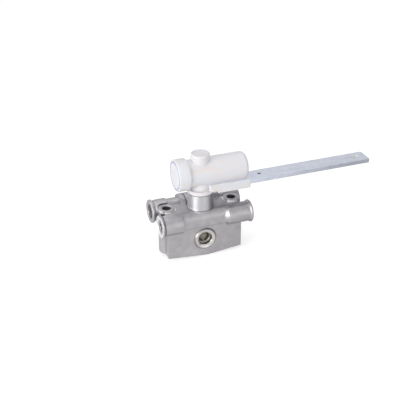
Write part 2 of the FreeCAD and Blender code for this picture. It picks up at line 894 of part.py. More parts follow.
def lever_screws():
    """Screws that hold the lever in the rail, from below."""
    solids = []
    for x in lever_screw_places:
        head = rod(lever_screw_head_radius, Vector(x, 0, flange_bottom - lever_screw_head_height),
                   Vector(x, 0, flange_bottom))
        shank = rod(lever_screw_radius, Vector(x, 0, flange_bottom), Vector(x, 0, lever_top))
        socket = hexagon_prism(lever_screw_hex, Vector(x, 0, flange_bottom - lever_screw_head_height / 2),
                               Vector(x, 0, flange_bottom - lever_screw_head_height - through))
        solids.append(head.fuse(shank).removeSplitter().cut(socket))
    return Part.makeCompound(solids)


PIECES = {
    "valve_body": valve_body,
    "neck_collar": neck_collar,
    "shaft_bush": shaft_bush,
    "shaft_seal": shaft_seal,
    "exhaust_filter": exhaust_filter,
    "filter_ring": filter_ring,
    "rear_plug": rear_plug,
    "plug_o_ring": plug_o_ring,
    "check_seat": check_seat,
    "check_poppet": check_poppet,
    "check_spring": check_spring,
    "throttle_insert": throttle_insert,
    "passage_ball": passage_ball,
    "control_spool": control_spool,
    "spool_o_rings": spool_o_rings,
    "shaft": shaft,
    "shaft_o_ring": shaft_o_ring,
    "eccentric_pin": eccentric_pin,
    "thrust_washer": thrust_washer,
    "head_housing": head_housing,
    "end_cap": end_cap,
    "retaining_ring": retaining_ring,
    "top_plug": top_plug,
    "overload_plunger": overload_plunger,
    "overload_spring": overload_spring,
    "lever": lever,
    "lever_screws": lever_screws,
}


def main():
    """Builds every piece and writes it."""
    os.makedirs("parts", exist_ok=True)
    for name, build in PIECES.items():
        write(name, build())


main()
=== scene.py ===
"""Looks of an air suspension levelling valve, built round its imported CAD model."""

import json
import math
from collections import namedtuple

import bmesh
import bpy
import numpy as np
from bpy.props import FloatProperty, FloatVectorProperty, IntProperty, PointerProperty
from mathutils import Matrix, Vector

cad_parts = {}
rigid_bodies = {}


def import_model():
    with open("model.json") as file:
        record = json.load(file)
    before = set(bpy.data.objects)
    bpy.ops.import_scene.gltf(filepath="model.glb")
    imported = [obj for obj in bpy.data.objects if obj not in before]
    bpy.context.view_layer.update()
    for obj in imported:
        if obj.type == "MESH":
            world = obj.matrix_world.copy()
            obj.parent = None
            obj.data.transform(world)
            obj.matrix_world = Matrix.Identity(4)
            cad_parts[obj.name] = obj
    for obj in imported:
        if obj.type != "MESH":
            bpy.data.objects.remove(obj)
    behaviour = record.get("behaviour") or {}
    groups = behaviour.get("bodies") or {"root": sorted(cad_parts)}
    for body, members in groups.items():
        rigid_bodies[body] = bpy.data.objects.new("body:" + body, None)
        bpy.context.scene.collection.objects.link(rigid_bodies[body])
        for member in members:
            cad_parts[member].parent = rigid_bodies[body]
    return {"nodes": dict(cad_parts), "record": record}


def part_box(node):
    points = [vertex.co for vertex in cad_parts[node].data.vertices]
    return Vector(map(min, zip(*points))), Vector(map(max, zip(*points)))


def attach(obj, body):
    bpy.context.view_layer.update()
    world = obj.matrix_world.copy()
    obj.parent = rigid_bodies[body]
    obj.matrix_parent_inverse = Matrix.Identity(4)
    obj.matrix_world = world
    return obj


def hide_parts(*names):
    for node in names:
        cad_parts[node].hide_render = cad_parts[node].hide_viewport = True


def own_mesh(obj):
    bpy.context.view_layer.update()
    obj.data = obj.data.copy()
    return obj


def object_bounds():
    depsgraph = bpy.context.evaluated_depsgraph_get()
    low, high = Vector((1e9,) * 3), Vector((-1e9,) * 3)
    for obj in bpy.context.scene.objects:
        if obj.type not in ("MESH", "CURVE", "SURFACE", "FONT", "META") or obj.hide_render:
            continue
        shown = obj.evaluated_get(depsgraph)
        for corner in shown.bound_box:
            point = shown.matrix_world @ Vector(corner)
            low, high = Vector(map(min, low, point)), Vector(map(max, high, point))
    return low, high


bl_info = {
    "name": "Levelling valve",
    "version": (1, 0, 0),
    "blender": (4, 5, 0),
    "location": "View3D > Sidebar > Levelling valve",
    "description": "Dresses an air suspension levelling valve in cast metal, plated steel and white acetal",
    "category": "Object",
}

for leftover in list(bpy.data.objects):
    bpy.data.objects.remove(leftover)
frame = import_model()
CAD_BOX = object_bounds()

MM = 0.001
# How far a cutter stands out of the face that it cuts
OVERRUN = 1.5 * MM
# Radius of the smallest ring of a round solid, where it closes on its axis
NEEDLE = 0.01 * MM

# Material slots of the casting
CAST_SLOT, FRONT_SLOT, SUPPLY_SLOT, EXHAUST_SLOT, SPOT_SLOT, BORED_SLOT, TAPPED_SLOT, RIM_SLOT = range(8)

# A port's lead cone is lead long and has the radius wide at its mouth. The mouth is faced out
# to the radius face. The wall is dull between two depths and bright before and past them.
Port = namedtuple("Port", "lead wide face dull_from dull_to bright_slot dull_slot")
PORTS = {
    "port_consumer_left": Port(0.9 * MM, 8.15 * MM, 11.3 * MM, 3.4 * MM, math.inf, FRONT_SLOT, BORED_SLOT),
    "port_consumer_right": Port(0.9 * MM, 8.15 * MM, 10.9 * MM, 3.4 * MM, math.inf, FRONT_SLOT, BORED_SLOT),
    "port_supply": Port(0.9 * MM, 8.15 * MM, 11.4 * MM, 3.4 * MM, math.inf, SUPPLY_SLOT, BORED_SLOT),
    # In the exhaust port the dull stretch of thread takes the tapped colour, painted very dark as shade.
    "port_exhaust": Port(1.2 * MM, 9.5 * MM, 10.5 * MM, 2.0 * MM, 5.2 * MM, EXHAUST_SLOT, TAPPED_SLOT),
}


def srgb(code):
    """Turns an sRGB hex colour into linear red, green and blue.

    Each channel is divided by 255. Below 0.04045 it is divided by 12.92, and above
    it is raised by 0.055, divided by 1.055 and taken to the power 2.4.
    """
    channels = np.array([int(code[place:place + 2], 16) for place in (0, 2, 4)]) / 255
    low = channels / 12.92
    high = ((channels + 0.055) / 1.055) ** 2.4
    return tuple(float(value) for value in np.where(channels <= 0.04045, low, high))


def length(name, description, default):
    """Property for a length in metres."""
    return FloatProperty(name=name, description=description, default=default, min=0.0,
                         subtype="DISTANCE", unit="LENGTH", precision=5)


def colour(name, description, code):
    """Property for a colour, with an sRGB hex value as its default."""
    return FloatVectorProperty(name=name, description=description, default=srgb(code),
                               size=3, subtype="COLOR", min=0.0, max=1.0)


def smoothing(description, default):
    """Property for the number of smoothing passes."""
    return IntProperty(name="Smoothing passes", description=description, default=default, min=0, max=60)


def triangles(description, default):
    """Property for the number of triangles that a softened piece keeps."""
    return IntProperty(name="Faces", description=description, default=default, min=10000, max=180000)


# Where the CAD pieces lie, read from the frame
CAST_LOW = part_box("valve_body")[0]
COLLAR_LOW, COLLAR_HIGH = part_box("neck_collar")
CAP_LOW, CAP_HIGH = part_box("end_cap")
TOP_LOW, TOP_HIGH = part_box("top_plug")
SHAFT_X = (COLLAR_LOW.x + COLLAR_HIGH.x) / 2
SHAFT_Y = (COLLAR_LOW.y + COLLAR_HIGH.y) / 2
CAP_Z = (CAP_LOW.z + CAP_HIGH.z) / 2


def named(entries, name):
    """The entry of a list in the record that has this name, such as one mount or one joint."""
    for entry in entries:
        if entry["name"] == name:
            return entry
    raise ValueError("the record has no entry named " + name)


def mount(name):
    """One of the record's mounts."""
    return named(frame["record"]["mounts"], name)


class CastingSizes(bpy.types.PropertyGroup):
    """Sizes of the casting's dressed surface."""

    step: length("Grid step", "Step of the grid on which the casting is softened", 0.27 * MM)
    passes: smoothing("Passes that round the cast edges", 2)
    faces: triangles("Triangles kept of the cast skin", 134000)
    thread_pitch: length("Thread pitch", "Pitch of the port threads", 1.5 * MM)
    thread_minor: length("Thread minor radius", "Core radius of the port threads", 7.2 * MM)
    thread_major: length("Thread major radius", "Root radius of the port threads", 8.0 * MM)
    facing: length("Facing cut", "Depth of the facing cut on each port", 0.06 * MM)
    hole: length("Mounting hole radius", "Radius of the two mounting holes", 4.5 * MM)
    pad: length("Pad radius", "Radius of the machined pads round the holes", 8.5 * MM)
    seam: length("Parting line height", "Height of the dies' parting line above the exhaust port's axis",
                 15.2 * MM)


class HeadSizes(bpy.types.PropertyGroup):
    """Sizes of the white head, its cap and its plug."""

    step: length("Grid step", "Step of the grid on which the moulding is softened", 0.3 * MM)
    passes: smoothing("Passes that round the moulded edges", 4)
    faces: triangles("Triangles kept of the moulded skin", 120000)
    disc: length("Cap disc radius", "Radius of the flat disc in the cap's face", 12.7 * MM)
    groove: length("Cap groove outer radius", "Radius of the outer edge of the cap's groove", 15.2 * MM)
    groove_depth: length("Cap groove depth", "Depth of the groove below the cap's face", 1.0 * MM)
    dish: length("Plug dish depth", "Depth of the hollow in the plug's top", 0.3 * MM)


class FinishColours(bpy.types.PropertyGroup):
    """Colours of the finishes."""

    cast: colour("Cast aluminium", "Blasted die-cast skin", "B4B1B5")
    cast_dark: colour("Cast aluminium, dark", "Darker patches of the cast skin", "A09DA1")
    turned: colour("Turned aluminium", "Bright turned faces", "E6E5E7")
    supply: colour("Supply port", "Duller face of the supply port", "ADABAE")
    exhaust: colour("Exhaust port", "Turned rim of the exhaust port", "C9C6C3")
    # Painted shade: the exhaust port's thread is coloured very dark for the shadow inside the bore.
    tapped: colour("Tapped aluminium", "Thread of the exhaust port", "4A473E")
    # Painted shade: a darker tone than the port's face, for the dark outline round the rim; the lamps give
    # its bright left side.
    rim: colour("Exhaust rim", "Sloping side of the exhaust port's rim", "9D9897")
    collar: colour("Collar", "Turned collar round the shaft", "C7C6C9")
    bored: colour("Bored aluminium", "Drilled and tapped walls", "88858A")
    acetal: colour("White acetal", "Moulded head", "E9ECF3")
    acetal_warm: colour("White acetal, warm", "Warm patches in the moulding", "EDE7E6")
    # Colour of the painted shade in the moulding's recesses.
    acetal_shade: colour("White acetal, deep", "Recesses of the moulding", "CDD2E1")
    # Painted shade: the cap's groove is tinted darker and bluer than the face.
    groove: colour("Cap groove", "Groove in the face of the cap", "C3C9DC")
    zinc: colour("Zinc plate", "Plated lever", "E0E5F0")
    zinc_dark: colour("Zinc plate, dark", "Darker patches of the plate", "CAD0DF")
    # Painted light: the hole's wall is near white, for the bright background seen through the hole.
    drilled: colour("Drilled steel", "Wall of the lever's end hole", "F7F8FA")
    filter: colour("Filter", "Olive filter pad", "C2BFAC")
    phosphated: colour("Phosphated steel", "Spring ring of the exhaust port", "504E45")
    wire: colour("Spring steel", "Springs, retaining ring and ball", "8C8C90")
    ground: colour("Ground steel", "Shaft, pin and plunger", "B9BAC0")
    rubber: colour("Rubber", "Seals and O-rings", "1B1B1C")
    brass: colour("Brass", "Rear plug, non-return valve and throttle", "C9A65A")
    bronze: colour("Bronze", "Bush of the shaft", "A9793F")
    spool: colour("Spool", "Anodised control spool", "9A9CA0")


class StageSizes(bpy.types.PropertyGroup):
    """Lamps and floor."""

    key: FloatProperty(name="Key", description="Strength of the lamp at the left", default=7.3, min=0.0)
    fill: FloatProperty(name="Fill", description="Strength of the lamp at the right", default=2.8, min=0.0)
    top: FloatProperty(name="Top", description="Strength of the lamp overhead", default=2.5, min=0.0)
    floor_size: length("Floor size", "Side of the square floor", 8.0)


# Shader nodes

def add_node(tree, kind, links=None, **values):
    """Adds a node, sets its settings and sockets, and links its inputs.

    Names in values are settings of the node where it has them, and otherwise its
    sockets. Links maps a socket's name or number to the (node, output) that feeds it.
    """
    node = tree.nodes.new(kind)
    for name, value in values.items():
        if hasattr(node, name):
            setattr(node, name, value)
        else:
            node.inputs[name.replace("_", " ")].default_value = value
    for socket, (source, output) in (links or {}).items():
        tree.links.new(source.outputs[output], node.inputs[socket])
    return node


def new_material(name):
    """Empty material with its tree, its shader and its object coordinates."""
    material = bpy.data.materials.new(name)
    material.use_nodes = True
    tree = material.node_tree
    tree.nodes.clear()
    shader = add_node(tree, "ShaderNodeBsdfPrincipled")
    add_node(tree, "ShaderNodeOutputMaterial", {"Surface": (shader, "BSDF")})
    place = add_node(tree, "ShaderNodeTexCoord")
    return material, tree, shader, place


def mix_colours(tree, factor, first, second):
    """Mix of a constant colour and a second one, constant or from a node, by a factor from a node."""
    node = add_node(tree, "ShaderNodeMix", {0: factor}, data_type="RGBA")
    node.inputs[6].default_value = (*first, 1)
    if hasattr(second[0], "outputs"):
        tree.links.new(second[0].outputs[second[1]], node.inputs[7])
    else:
        node.inputs[7].default_value = (*second, 1)
    return node


def combine(tree, operation, first, second):
    """Sum, difference, product, larger or smaller of two values, of which the second may be constant."""
    node = add_node(tree, "ShaderNodeMath", {0: first}, operation=operation)
    if isinstance(second, tuple):
        tree.links.new(second[0].outputs[second[1]], node.inputs[1])
    else:
        node.inputs[1].default_value = second
    return node


def darker(tone, share):
    """A colour times a share."""
    return [value * share for value in tone]


def bevelled_bump(tree, height, radius, strength, distance):
    """Bump from a node's height over edges that look rounded by a radius."""
    edge = add_node(tree, "ShaderNodeBevel", samples=4, Radius=radius)
    return add_node(tree, "ShaderNodeBump", {"Height": height, "Normal": (edge, "Normal")},
                    Strength=strength, Distance=distance)


def spread(tree, source, low, high, to_low, to_high):
    """Maps a value from one range to another."""
    node = add_node(tree, "ShaderNodeMapRange", {"Value": source})
    for name, value in (("From Min", low), ("From Max", high), ("To Min", to_low), ("To Max", to_high)):
        node.inputs[name].default_value = value
    return node


def paint(tree, shader, **sockets):
    """Links sockets of the shader to (node, output) pairs, or sets them to constants."""
    for name, value in sockets.items():
        socket = shader.inputs[name.replace("_", " ")]
        if isinstance(value, tuple) and hasattr(value[0], "outputs"):
            tree.links.new(value[0].outputs[value[1]], socket)
        else:
            socket.default_value = value


def cast_metal(name, light, dark, seam):
    """Die-cast aluminium, blasted with fine grit.

    The eye sees a matt grey metal with a fine even grain, faint patches a few
    millimetres wide and small dark pores. Corners and creases get painted shade,
    darker where the ambient occlusion node finds them closed in.
    Grit marks are about 0.5 mm, drawn at 0.6 mm so that they show. The dies meet
    at the height of the point seam, where a band about 1 mm wide is painted darker as
    the shadow under the step there. It shows on the front only, no more than 1 to 2 mm
    behind that point.
    """
    material, tree, shader, place = new_material(name)
    spot = (place, "Object")
    patches = add_node(tree, "ShaderNodeTexNoise", {"Vector": spot}, Scale=1 / (7 * MM), Detail=4.0)
    grain = add_node(tree, "ShaderNodeTexNoise", {"Vector": spot}, Scale=1 / (0.6 * MM), Detail=3.0,
                     Roughness=0.7)
    pores = add_node(tree, "ShaderNodeTexVoronoi", {"Vector": spot}, Scale=1 / (2.6 * MM))
    pits = spread(tree, (pores, "Distance"), 0.04, 0.14, 0.0, 1.0)
    blend = combine(tree, "ADD", (patches, "Fac"), (grain, "Fac"))
    shade = spread(tree, (blend, "Value"), 0.7, 1.3, 0.0, 1.0)
    skin = mix_colours(tree, (shade, "Result"), dark, light)
    # Painted shade: corners and creases turn darker by the ambient occlusion node.
    corners = add_node(tree, "ShaderNodeAmbientOcclusion", samples=8, Distance=2.6 * MM)
    corner_shade = spread(tree, (corners, "AO"), 0.4, 0.9, 0.0, 1.0)
    parts = add_node(tree, "ShaderNodeSeparateXYZ", {0: spot})
    rise = combine(tree, "SUBTRACT", (parts, "Z"), seam.z)
    off = add_node(tree, "ShaderNodeMath", {0: (rise, "Value")}, operation="ABSOLUTE")
    # Painted shadow under the step at the parting line, on the front only.
    line = spread(tree, (off, "Value"), 0.25 * MM, 0.7 * MM, 0.35, 1.0)
    behind = spread(tree, (parts, "Y"), seam.y + 1.0 * MM, seam.y + 2.0 * MM, 0.0, 1.0)
    front_seam_shade = combine(tree, "MAXIMUM", (line, "Result"), (behind, "Result"))
    painted_shade = combine(tree, "MINIMUM", (front_seam_shade, "Value"), (corner_shade, "Result"))
    marks = combine(tree, "MINIMUM", (pits, "Result"), (painted_shade, "Value"))
    # Pores, and the painted shade in corners and at the parting line, take half the dark tone.
    pitted_and_shaded = mix_colours(tree, (marks, "Value"), darker(dark, 0.5), (skin, 2))
    rough = spread(tree, (grain, "Fac"), 0.3, 0.7, 0.36, 0.5)
    coarse = bevelled_bump(tree, (patches, "Fac"), 0.35 * MM, strength=0.5, distance=0.6 * MM)
    fine = add_node(tree, "ShaderNodeBump", {"Height": (grain, "Fac"), "Normal": (coarse, "Normal")},
                    Strength=0.6, Distance=0.2 * MM)
    holes = add_node(tree, "ShaderNodeBump", {"Height": (pits, "Result"), "Normal": (fine, "Normal")},
                     Strength=0.4, Distance=0.1 * MM)
    paint(tree, shader, Base_Color=(pitted_and_shaded, 2), Roughness=(rough, "Result"), Normal=(holes, "Normal"),
          Metallic=0.85)
    return material


def bored_metal(name, base, low, high):
    """Walls of drilled and tapped holes in the casting.

    The eye sees a dark grey metal with fine tool marks under a thin film of oil, so
    its gloss is uneven. The roughness runs from low to high.
    """
    material, tree, shader, place = new_material(name)
    spot = (place, "Object")
    film = add_node(tree, "ShaderNodeTexNoise", {"Vector": spot}, Scale=1 / (1.8 * MM), Detail=4.0)
    marks = add_node(tree, "ShaderNodeTexNoise", {"Vector": spot}, Scale=1 / (0.4 * MM), Detail=2.0)
    tone = mix_colours(tree, (film, "Fac"), darker(base, 0.6), base)
    rough = spread(tree, (film, "Fac"), 0.3, 0.7, low, high)
    bump = add_node(tree, "ShaderNodeBump", {"Height": (marks, "Fac")}, Strength=0.5, Distance=0.05 * MM)
    paint(tree, shader, Base_Color=(tone, 2), Roughness=(rough, "Result"), Normal=(bump, "Normal"),
          Metallic=0.8)
    return material


def turned_metal(name, base, centre, across, pitch=0.35 * MM, roughness=0.36, stretch=0.0):
    """Metal turned on a lathe or faced with a cutter.

    The eye sees bright metal with fine rings round the axis through the centre. The
    vector across holds 0 along that axis and 1 square to it. The rings follow the
    distance from the axis plus the distance along it, so that faces and walls both
    have them. A fine turning cut feeds 0.1 mm a turn, and here the rings are drawn
    wider so that they show. A stretch above 0 draws highlights out across the rings
    of a part that turns round its own Z axis.
    """
    material, tree, shader, place = new_material(name)
    offset = add_node(tree, "ShaderNodeVectorMath", {0: (place, "Object")}, operation="SUBTRACT")
    offset.inputs[1].default_value = centre
    flat = add_node(tree, "ShaderNodeVectorMath", {0: (offset, "Vector")}, operation="MULTIPLY")
    flat.inputs[1].default_value = across
    distance = add_node(tree, "ShaderNodeVectorMath", {0: (flat, "Vector")}, operation="LENGTH")
    along = add_node(tree, "ShaderNodeVectorMath", {0: (offset, "Vector")}, operation="MULTIPLY")
    along.inputs[1].default_value = [1 - value for value in across]
    height = add_node(tree, "ShaderNodeVectorMath", {0: (along, "Vector")}, operation="LENGTH")
    total = combine(tree, "ADD", (distance, "Value"), (height, "Value"))
    turns = combine(tree, "MULTIPLY", (total, "Value"), 1 / pitch)
    rings = add_node(tree, "ShaderNodeTexNoise", {"W": (turns, "Value")}, noise_dimensions="1D", Scale=1.0,
                     Detail=2.0)
    smudge = add_node(tree, "ShaderNodeTexNoise", {"Vector": (place, "Object")}, Scale=1 / (4 * MM),
                      Detail=3.0)
    tone = mix_colours(tree, (smudge, "Fac"), darker(base, 0.82), base)
    rough = spread(tree, (rings, "Fac"), 0.3, 0.7, roughness - 0.05, roughness + 0.1)
    bump = bevelled_bump(tree, (rings, "Fac"), 0.15 * MM, strength=0.5, distance=0.04 * MM)
    paint(tree, shader, Base_Color=(tone, 2), Roughness=(rough, "Result"), Normal=(bump, "Normal"),
          Metallic=0.95)
    if stretch:
        tangent = add_node(tree, "ShaderNodeTangent", direction_type="RADIAL", axis="Z")
        paint(tree, shader, Anisotropic=stretch, Anisotropic_Rotation=0.25, Tangent=(tangent, "Tangent"))
    return material


def moulded_acetal(name, base, warm, deep):
    """White acetal, injection moulded.

    The eye sees a dense white plastic with a soft sheen, a little light inside it,
    and wide faint patches, some bluish and some warm. Recesses get painted shade in
    the colour deep, bluer and darker, by the ambient occlusion node. The patches are
    about 12 mm across and drawn out along the barrel, as the melt flowed.
    """
    material, tree, shader, place = new_material(name)
    spot = (place, "Object")
    stretch = add_node(tree, "ShaderNodeMapping", {"Vector": spot})
    stretch.inputs["Scale"].default_value = (0.35, 1.0, 1.0)
    flow = add_node(tree, "ShaderNodeTexNoise", {"Vector": (stretch, "Vector")}, Scale=1 / (12 * MM),
                    Detail=2.0, Distortion=0.6)
    skin = add_node(tree, "ShaderNodeTexNoise", {"Vector": spot}, Scale=1 / (0.7 * MM), Detail=2.0)
    share = spread(tree, (flow, "Fac"), 0.35, 0.65, 0.0, 1.0)
    skin_tone = mix_colours(tree, (share, "Result"), base, warm)
    # Painted shade: recesses turn to the deep colour by the ambient occlusion node.
    occlusion = add_node(tree, "ShaderNodeAmbientOcclusion", samples=8, Distance=1.3 * MM)
    unshaded_share = spread(tree, (occlusion, "AO"), 0.3, 0.8, 0.0, 1.0)
    tone = mix_colours(tree, (unshaded_share, "Result"), deep, (skin_tone, 2))
    rough = spread(tree, (skin, "Fac"), 0.3, 0.7, 0.36, 0.5)
    bump = bevelled_bump(tree, (skin, "Fac"), 0.4 * MM, strength=0.25, distance=0.03 * MM)
    paint(tree, shader, Base_Color=(tone, 2), Roughness=(rough, "Result"), Normal=(bump, "Normal"),
          IOR=1.48, Subsurface_Weight=0.25, Subsurface_Radius=(1.0, 0.9, 0.85), Subsurface_Scale=1.2 * MM)
    return material


def plated_steel(name, base, dark):
    """Flat steel bar, zinc plated and passivated blue.

    The eye sees a pale grey metal with a blue cast, cloudy patches of a few
    millimetres and fine rolling lines along the bar. Rolling lines are finer than
    0.1 mm, drawn at 0.5 mm so that they show.
    """
    material, tree, shader, place = new_material(name)
    spot = (place, "Object")
    stretch = add_node(tree, "ShaderNodeMapping", {"Vector": spot})
    stretch.inputs["Scale"].default_value = (0.03, 1.0, 1.0)
    rolling = add_node(tree, "ShaderNodeTexNoise", {"Vector": (stretch, "Vector")}, Scale=1 / (0.5 * MM),
                       Detail=3.0)
    clouds = add_node(tree, "ShaderNodeTexNoise", {"Vector": spot}, Scale=1 / (5 * MM), Detail=5.0,
                      Roughness=0.6)
    crystals = add_node(tree, "ShaderNodeTexVoronoi", {"Vector": spot}, Scale=1 / (1.1 * MM))
    blend = combine(tree, "ADD", (clouds, "Fac"), (rolling, "Fac"))
    shade = spread(tree, (blend, "Value"), 0.75, 1.25, 0.0, 1.0)
    tone = mix_colours(tree, (shade, "Result"), dark, base)
    rough = spread(tree, (crystals, "Distance"), 0.0, 0.7, 0.24, 0.38)
    bump = bevelled_bump(tree, (rolling, "Fac"), 0.25 * MM, strength=0.35, distance=0.05 * MM)
    paint(tree, shader, Base_Color=(tone, 2), Roughness=(rough, "Result"), Normal=(bump, "Normal"),
          Metallic=0.9)
    return material


def grained(name, base, grain, metallic, low, high, depth=0.03 * MM, contrast=0.8):
    """Plain metal, rubber or pad whose colour, gloss and skin vary with one fine grain.

    The eye sees one even tone with a faint texture as wide as the grain. The colour
    runs from its contrast share to its full value, and the roughness from low to high.
    """
    material, tree, shader, place = new_material(name)
    noise = add_node(tree, "ShaderNodeTexNoise", {"Vector": (place, "Object")}, Scale=1 / grain, Detail=4.0)
    tone = mix_colours(tree, (noise, "Fac"), darker(base, contrast), base)
    rough = spread(tree, (noise, "Fac"), 0.3, 0.7, low, high)
    bump = add_node(tree, "ShaderNodeBump", {"Height": (noise, "Fac")}, Strength=0.4, Distance=depth)
    paint(tree, shader, Base_Color=(tone, 2), Roughness=(rough, "Result"), Normal=(bump, "Normal"),
          Metallic=metallic)
    return material


# Meshes

def join(name, points, faces, slots=0):
    """Mesh object from an array of points and a list of faces, with one slot for all or one for each."""
    mesh = bpy.data.meshes.new(name)
    mesh.from_pydata(np.asarray(points, float).reshape(-1, 3), [], faces)
    numbers = np.ascontiguousarray(np.broadcast_to(slots, len(faces)), np.int32)
    mesh.polygons.foreach_set("material_index", numbers)
    mesh.validate()
    mesh.update()
    item = bpy.data.objects.new(name, mesh)
    bpy.context.scene.collection.objects.link(item)
    return item


def ring_faces(rows, columns):
    """Quads of a grid whose columns close on themselves, with a flat face on each end."""
    row = np.arange(rows - 1)[:, None] * columns
    column = np.arange(columns)[None, :]
    after = (column + 1) % columns
    quads = np.stack([row + column, row + after, row + columns + after, row + columns + column], -1)
    first = list(range(columns - 1, -1, -1))
    last = list(range((rows - 1) * columns, rows * columns))
    return quads.reshape(-1, 4).tolist() + [first, last]


def loop_faces(rows, columns):
    """Quads of a grid that closes on itself both ways."""
    row = np.arange(rows)[:, None]
    column = np.arange(columns)[None, :]
    below = (row + 1) % rows * columns
    after = (column + 1) % columns
    quads = np.stack([row * columns + column, row * columns + after, below + after, below + column], -1)
    return quads.reshape(-1, 4).tolist()


def round_grid(radii, along, centre, axis, columns):
    """Points round an axis.

    Row i and column j stand at the angle of j whole turns over the number of
    columns, at radius radii[i, j] from the axis and at along[i] on it.
    """
    axis = Vector(axis)
    side = Vector((0, 0, 1)) if abs(axis.z) < 0.5 else Vector((1, 0, 0))
    first = np.array(axis.cross(side).normalized())
    second = np.cross(np.array(axis), first)
    turn = np.linspace(0, 2 * np.pi, columns, endpoint=False)
    ring = np.cos(turn)[:, None] * first + np.sin(turn)[:, None] * second
    radii = np.broadcast_to(np.asarray(radii, float).reshape(len(along), -1), (len(along), columns))
    return (np.array(centre) + radii[:, :, None] * ring[None]
            + np.asarray(along, float)[:, None, None] * np.array(axis))


def round_solid(name, radii, along, centre, axis, columns=96, slots=(0,)):
    """Closed solid round an axis, from rows of radii, with a material slot for each row or for all."""
    points = round_grid(radii, along, centre, axis, columns)
    rows = np.broadcast_to(slots, len(along) - 1)
    numbers = np.concatenate([np.repeat(rows, columns), rows[:1], rows[-1:]])
    item = join(name, points, ring_faces(len(along), columns), numbers)
    outwards(item.data)
    return item


def rounded(corners, steps=6):
    """Profile whose corners are arcs, from (radius, along, rounding) triples.

    Each arc touches both sides of its corner. Half the angle between the sides
    gives the place where it starts: the rounding over the tangent of that half
    angle, measured from the corner. Its points turn evenly round its centre. A
    corner without rounding, or between sides that are nearly in line, stays.
    """
    straight = math.radians(89.4)
    points = np.array([corner[:2] for corner in corners], float)
    profile = [points[0]]
    for place in range(1, len(corners) - 1):
        corner, size = points[place], corners[place][2]
        back = points[place - 1] - corner
        ahead = points[place + 1] - corner
        back, ahead = back / np.linalg.norm(back), ahead / np.linalg.norm(ahead)
        half = math.acos(float(np.clip(back @ ahead, -1, 1))) / 2
        if size == 0 or half > straight:
            profile.append(corner)
            continue
        middle = (back + ahead) / np.linalg.norm(back + ahead)
        centre = corner + middle * size / math.sin(half)
        start = corner + back * size / math.tan(half) - centre
        end = corner + ahead * size / math.tan(half) - centre
        sweep = math.pi - 2 * half
        for share in np.linspace(0, 1, steps + 1):
            weights = math.sin((1 - share) * sweep), math.sin(share * sweep)
            profile.append(centre + (start * weights[0] + end * weights[1]) / math.sin(sweep))
    profile.append(points[-1])
    return np.array(profile)


def lathe(name, corners, centre, axis, columns=160):
    """Closed solid round an axis with rounded corners, whose profile runs from the axis to the axis."""
    profile = rounded(corners)
    return round_solid(name, profile[:, :1], profile[:, 1], centre, axis, columns)


def tube(name, corners, centre, axis, columns=160):
    """Closed ring-shaped solid round an axis, whose profile closes on itself and has rounded corners."""
    profile = rounded([corners[-1], *corners, corners[0]])[1:-1]
    points = round_grid(profile[:, :1], profile[:, 1], centre, axis, columns)
    item = join(name, points, loop_faces(len(profile), columns))
    outwards(item.data)
    return item


def outwards(mesh):
    """Turns the faces of a closed mesh outwards."""
    work = bmesh.new()
    work.from_mesh(mesh)
    bmesh.ops.recalc_face_normals(work, faces=work.faces)
    work.to_mesh(mesh)
    work.free()


def baked(item, kind, **settings):
    """Applies one modifier to a piece."""
    modifier = item.modifiers.new(kind, kind)
    for name, value in settings.items():
        setattr(modifier, name, value)
    shown = item.evaluated_get(bpy.context.evaluated_depsgraph_get())
    mesh = bpy.data.meshes.new_from_object(shown)
    item.modifiers.clear()
    old = item.data
    item.data = mesh
    bpy.data.meshes.remove(old)


def boolean(item, others, operation):
    """Joins other closed pieces to this one, or cuts them from it, one by one, and removes them."""
    for other in others:
        bpy.context.view_layer.update()
        baked(item, "BOOLEAN", operation=operation, object=other, solver="MANIFOLD")
        bpy.data.objects.remove(other)


def merged_copy(node, name):
    """Copy of a CAD node whose loose triangles are joined to a closed skin, without its materials."""
    mesh = frame["nodes"][node].data.copy()
    work = bmesh.new()
    work.from_mesh(mesh)
    bmesh.ops.remove_doubles(work, verts=work.verts, dist=0.002 * MM)
    work.to_mesh(mesh)
    work.free()
    mesh.materials.clear()
    item = bpy.data.objects.new(name, mesh)
    bpy.context.scene.collection.objects.link(item)
    return item


def softened(item, step, passes, faces):
    """Lays a piece on an even grid and rounds its edges, then keeps fewer faces."""
    baked(item, "REMESH", mode="VOXEL", voxel_size=step, adaptivity=0.0)
    if passes:
        baked(item, "SMOOTH", factor=0.5, iterations=passes)
    count = 2 * len(item.data.polygons)
    if faces < count:
        baked(item, "DECIMATE", decimate_type="COLLAPSE", ratio=faces / count)


def cover(item, *materials):
    """Gives a piece its material slots, in order."""
    item.data.materials.clear()
    for material in materials:
        item.data.materials.append(material)


def face_places(item):
    """Centres and normals of a piece's faces."""
    places = np.empty((2, len(item.data.polygons), 3), np.float32)
    for array, kind in zip(places, ("center", "normal")):
        item.data.polygons.foreach_get(kind, array.reshape(-1))
    return places


def mark_faces(item, chosen):
    """Gives the chosen faces of a piece its second material, and the others its first."""
    item.data.polygons.foreach_set("material_index", chosen.astype(np.int32))


def dress(item, slot, body, *nodes, angle=40):
    """Shades a finished piece smooth, gives it its body and hides the nodes that it replaces.

    Its edges are sharp where its faces turn by more than the angle, in degrees. The slot is not used.
    """
    item.data.shade_smooth()
    item.data.set_sharp_from_angle(angle=math.radians(angle))
    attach(item, body)
    if nodes:
        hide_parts(*nodes)


def finish_node(material, *nodes):
    """Gives CAD nodes a material in place of the plain one."""
    for node in nodes:
        slots = frame["nodes"][node].data.materials
        slots.clear()
        slots.append(material)


# Pieces

